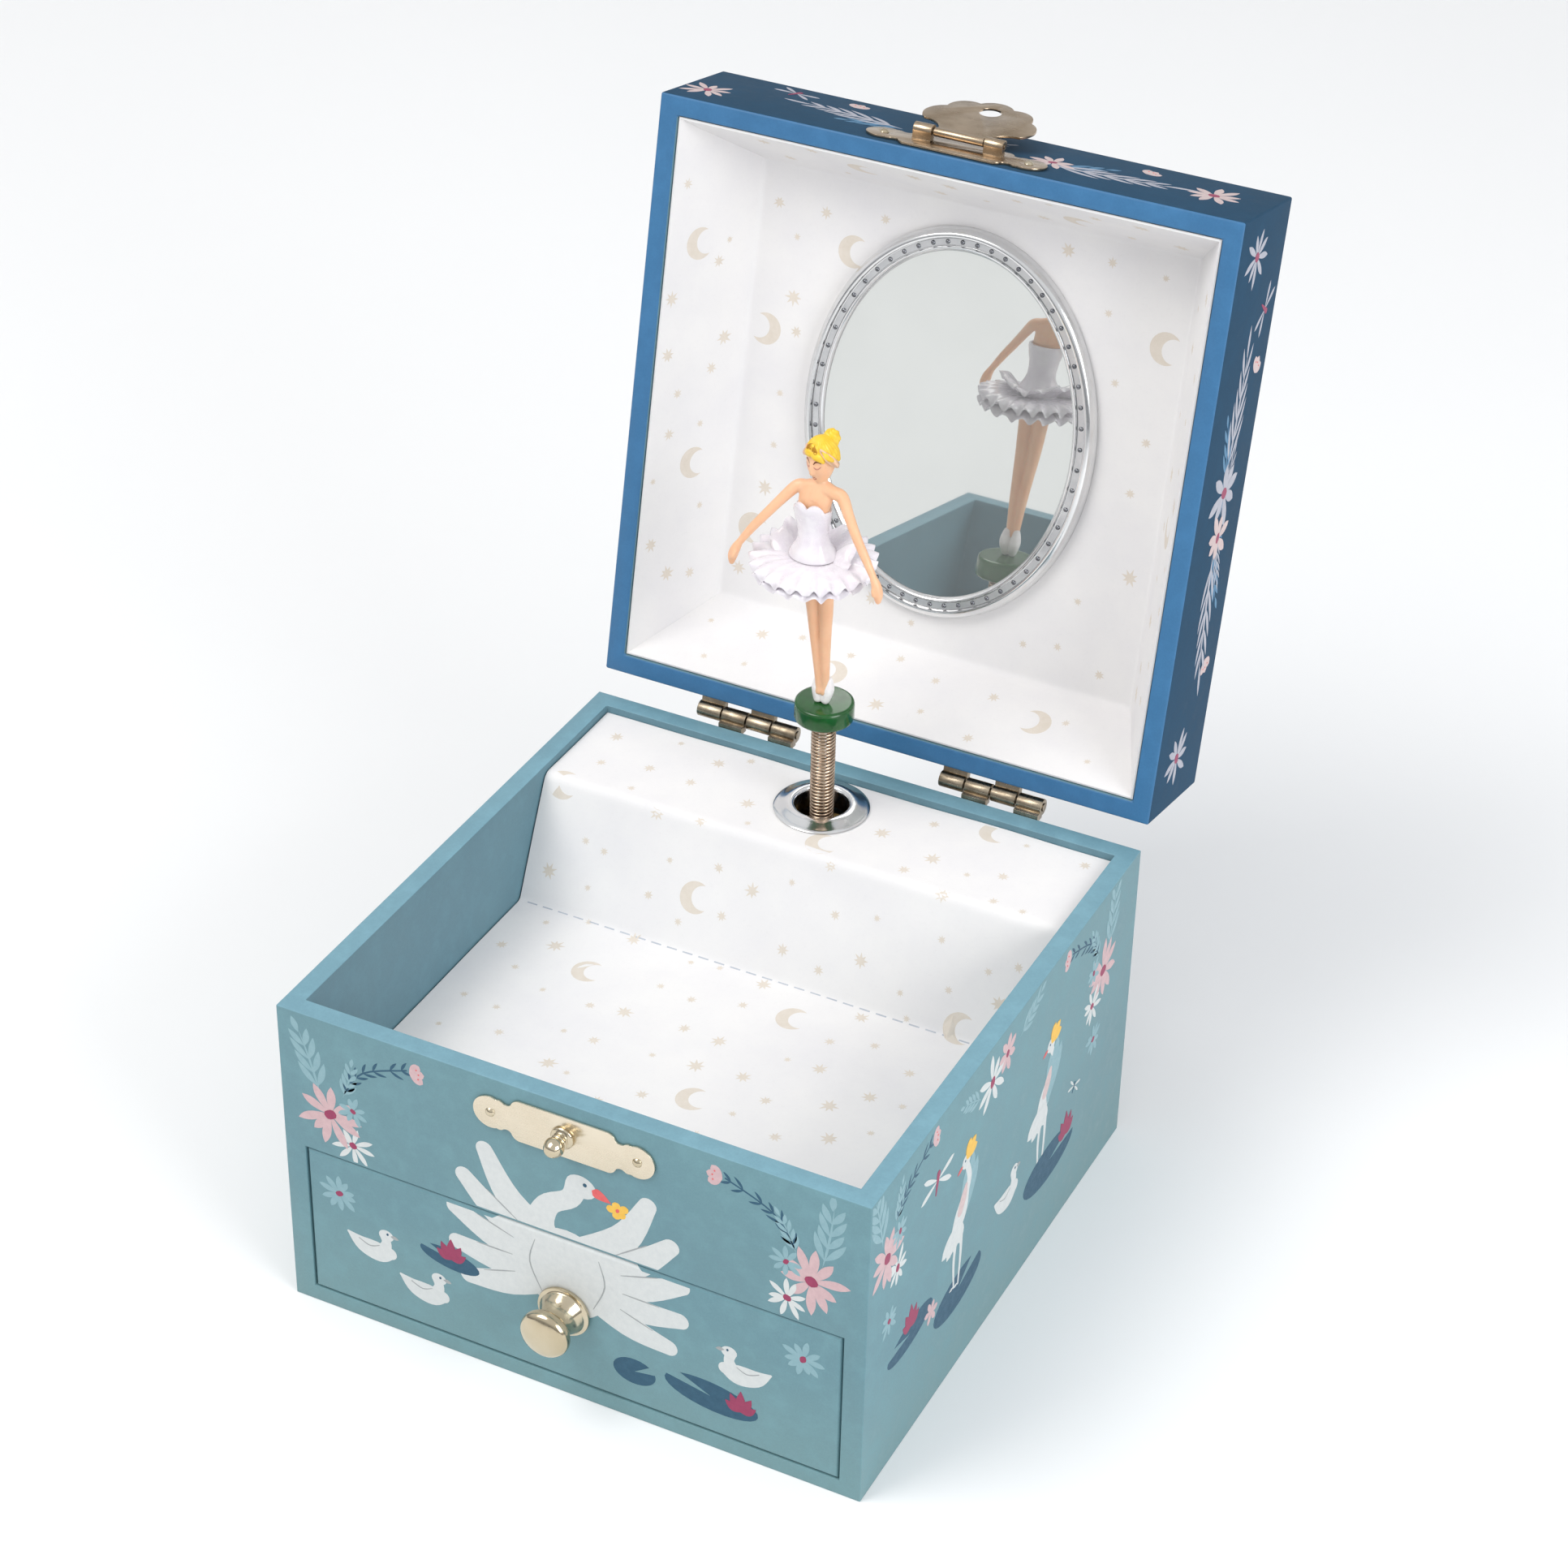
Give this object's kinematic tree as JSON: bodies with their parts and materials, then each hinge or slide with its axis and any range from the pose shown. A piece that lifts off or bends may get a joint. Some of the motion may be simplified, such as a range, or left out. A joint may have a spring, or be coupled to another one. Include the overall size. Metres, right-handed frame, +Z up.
{
  "type": "wind-up music box",
  "caption": "Paper-covered musical jewellery box: dancer on a spring turned by a wind-up movement, mirror in the hinged lid, tray, hasp and catch, and a drawer with a knob.",
  "frame": {"origin": "centre of the underside of the base, on the surface that it stands on", "axes": "+X to the right along the front, +Y to the back where the hinges and the key are, +Z up"},
  "size_m": [0.12, 0.1825, 0.1928],
  "materials": {
    "case_paper": "matt printed paper with a soft varnish",
    "lid_paper": "matt printed paper with a soft varnish",
    "lining_card": "fine textured card with a pale printed pattern",
    "inner_board": "uncoated grey board",
    "drawer_paper": "smooth white paper on board",
    "pale_gold": "polished, pale gold plating",
    "aged_nickel": "dull plated steel, darker in the joints",
    "bright_chrome": "bright plating",
    "mirror_silver": "silvered plate",
    "zinc_casting": "as cast, dull",
    "spring_steel": "ground and blued",
    "wheel_brass": "machined",
    "spring_wire": "bronze toned drawn wire",
    "stand_green": "glossy moulded",
    "dancer_skin": "satin moulded",
    "dancer_dress": "pearly moulded",
    "dancer_hair": "painted",
    "painted_art": "printed motifs"
  },
  "bodies": {
    "case": {"base_front_panel": "case_paper", "base_back_panel": "case_paper", "base_left_panel": "case_paper", "base_right_panel": "case_paper", "base_bottom_panel": "inner_board", "tray_floor_board": "inner_board", "movement_partition": "inner_board", "shelf_board": "inner_board", "tray_lining": "lining_card", "shelf_grommet": "bright_chrome", "catch_plate": "pale_gold", "catch_stud": "pale_gold", "base_fixing_nails": "pale_gold", "hinge_pins": "aged_nickel", "hinge_left_base_leaf": "aged_nickel", "hinge_right_base_leaf": "aged_nickel", "movement_bedplate": "zinc_casting", "movement_screws": "spring_steel", "frame_screws": "spring_steel", "comb": "spring_steel", "top_bridge": "wheel_brass", "governor_bracket": "wheel_brass"},
    "lid": {"lid_top_panel": "lid_paper", "lid_front_panel": "lid_paper", "lid_back_panel": "lid_paper", "lid_left_panel": "lid_paper", "lid_right_panel": "lid_paper", "lid_lining": "lining_card", "mirror_frame": "bright_chrome", "mirror_glass": "mirror_silver", "mirror_backing": "inner_board", "hasp_plate": "pale_gold", "hasp_pin": "aged_nickel", "lid_fixing_nails": "pale_gold", "hinge_left_lid_leaf": "aged_nickel", "hinge_right_lid_leaf": "aged_nickel"},
    "hasp": {"hasp_flap": "pale_gold"},
    "drawer": {"drawer_front": "case_paper", "drawer_left_side": "drawer_paper", "drawer_right_side": "drawer_paper", "drawer_back": "drawer_paper", "drawer_bottom": "drawer_paper", "drawer_knob": "pale_gold", "drawer_knob_screw": "spring_steel"},
    "winding": {"winding_arbor": "spring_steel", "winding_key": "pale_gold", "ratchet_wheel": "spring_steel"},
    "click": {"ratchet_click": "spring_steel"},
    "barrel": {"spring_barrel": "wheel_brass", "mainspring": "spring_steel"},
    "cylinder": {"cylinder_arbor": "spring_steel", "pin_cylinder": "wheel_brass", "cylinder_wheel": "wheel_brass"},
    "idler": {"idler_wheel": "wheel_brass"},
    "governor": {"governor_worm": "spring_steel"},
    "dancer_spring": {"ballerina_spring": "spring_wire"},
    "dancer": {"figure_stand": "stand_green", "ballerina_figure": "dancer_skin"}
  },
  "joints": [
    {"name": "lid_hinge", "type": "hinge", "parent": "case", "child": "lid", "pos_m": [0, 0.0628, 0.0702], "axis": [1, 0, 0], "range_deg": [0, 101.6]},
    {"name": "hasp_hinge", "type": "hinge", "parent": "lid", "child": "hasp", "pos_m": [0, 0.09349, 0.19161], "axis": [1, 0, 0], "range_deg": [-11, 171.5]},
    {"name": "drawer_slide", "type": "slide", "parent": "case", "child": "drawer", "axis": [0, -1, 0], "range_m": [0, 0.066]},
    {"name": "key_wind", "type": "hinge", "parent": "case", "child": "winding", "pos_m": [-0.002, 0.058, 0.0175], "axis": [0, 1, 0], "continuous": true},
    {"name": "click_pivot", "type": "hinge", "parent": "case", "child": "click", "pos_m": [0.0124, 0.0538, 0.0205], "axis": [0, 1, 0], "range_deg": [-8, 0], "stiffness_Nm_per_rad": 0.0005},
    {"name": "barrel_spin", "type": "hinge", "parent": "case", "child": "barrel", "pos_m": [-0.002, 0.051, 0.0175], "axis": [0, 1, 0], "continuous": true},
    {"name": "cylinder_spin", "type": "hinge", "parent": "case", "child": "cylinder", "pos_m": [-0.002, 0.0458, 0.042], "axis": [0, 0, 1], "continuous": true},
    {"name": "idler_spin", "type": "hinge", "parent": "case", "child": "idler", "pos_m": [-0.01165, 0.0458, 0.054], "axis": [0, 0, 1], "continuous": true},
    {"name": "governor_spin", "type": "hinge", "parent": "case", "child": "governor", "pos_m": [-0.01635, 0.0458, 0.0555], "axis": [0, 1, 0], "continuous": true},
    {"name": "dancer_fold", "type": "hinge", "parent": "case", "child": "dancer_spring", "pos_m": [-0.002, 0.0458, 0.077], "axis": [1, 0, 0], "range_deg": [0, 100], "deforming": ["ballerina_spring"]},
    {"name": "dancer_spin", "type": "hinge", "parent": "dancer_spring", "child": "dancer", "pos_m": [-0.002, 0.0458, 0.09], "axis": [0, 0, 1], "continuous": true}
  ],
  "couplings": [
    {"joint": "cylinder_spin", "follows": "barrel_spin", "ratio": -4},
    {"joint": "idler_spin", "follows": "barrel_spin", "ratio": 12},
    {"joint": "governor_spin", "follows": "barrel_spin", "ratio": 180},
    {"joint": "dancer_spin", "follows": "barrel_spin", "ratio": -4},
    {"joint": "dancer_fold", "follows": "lid_hinge", "ratio": 0.98424}
  ]
}
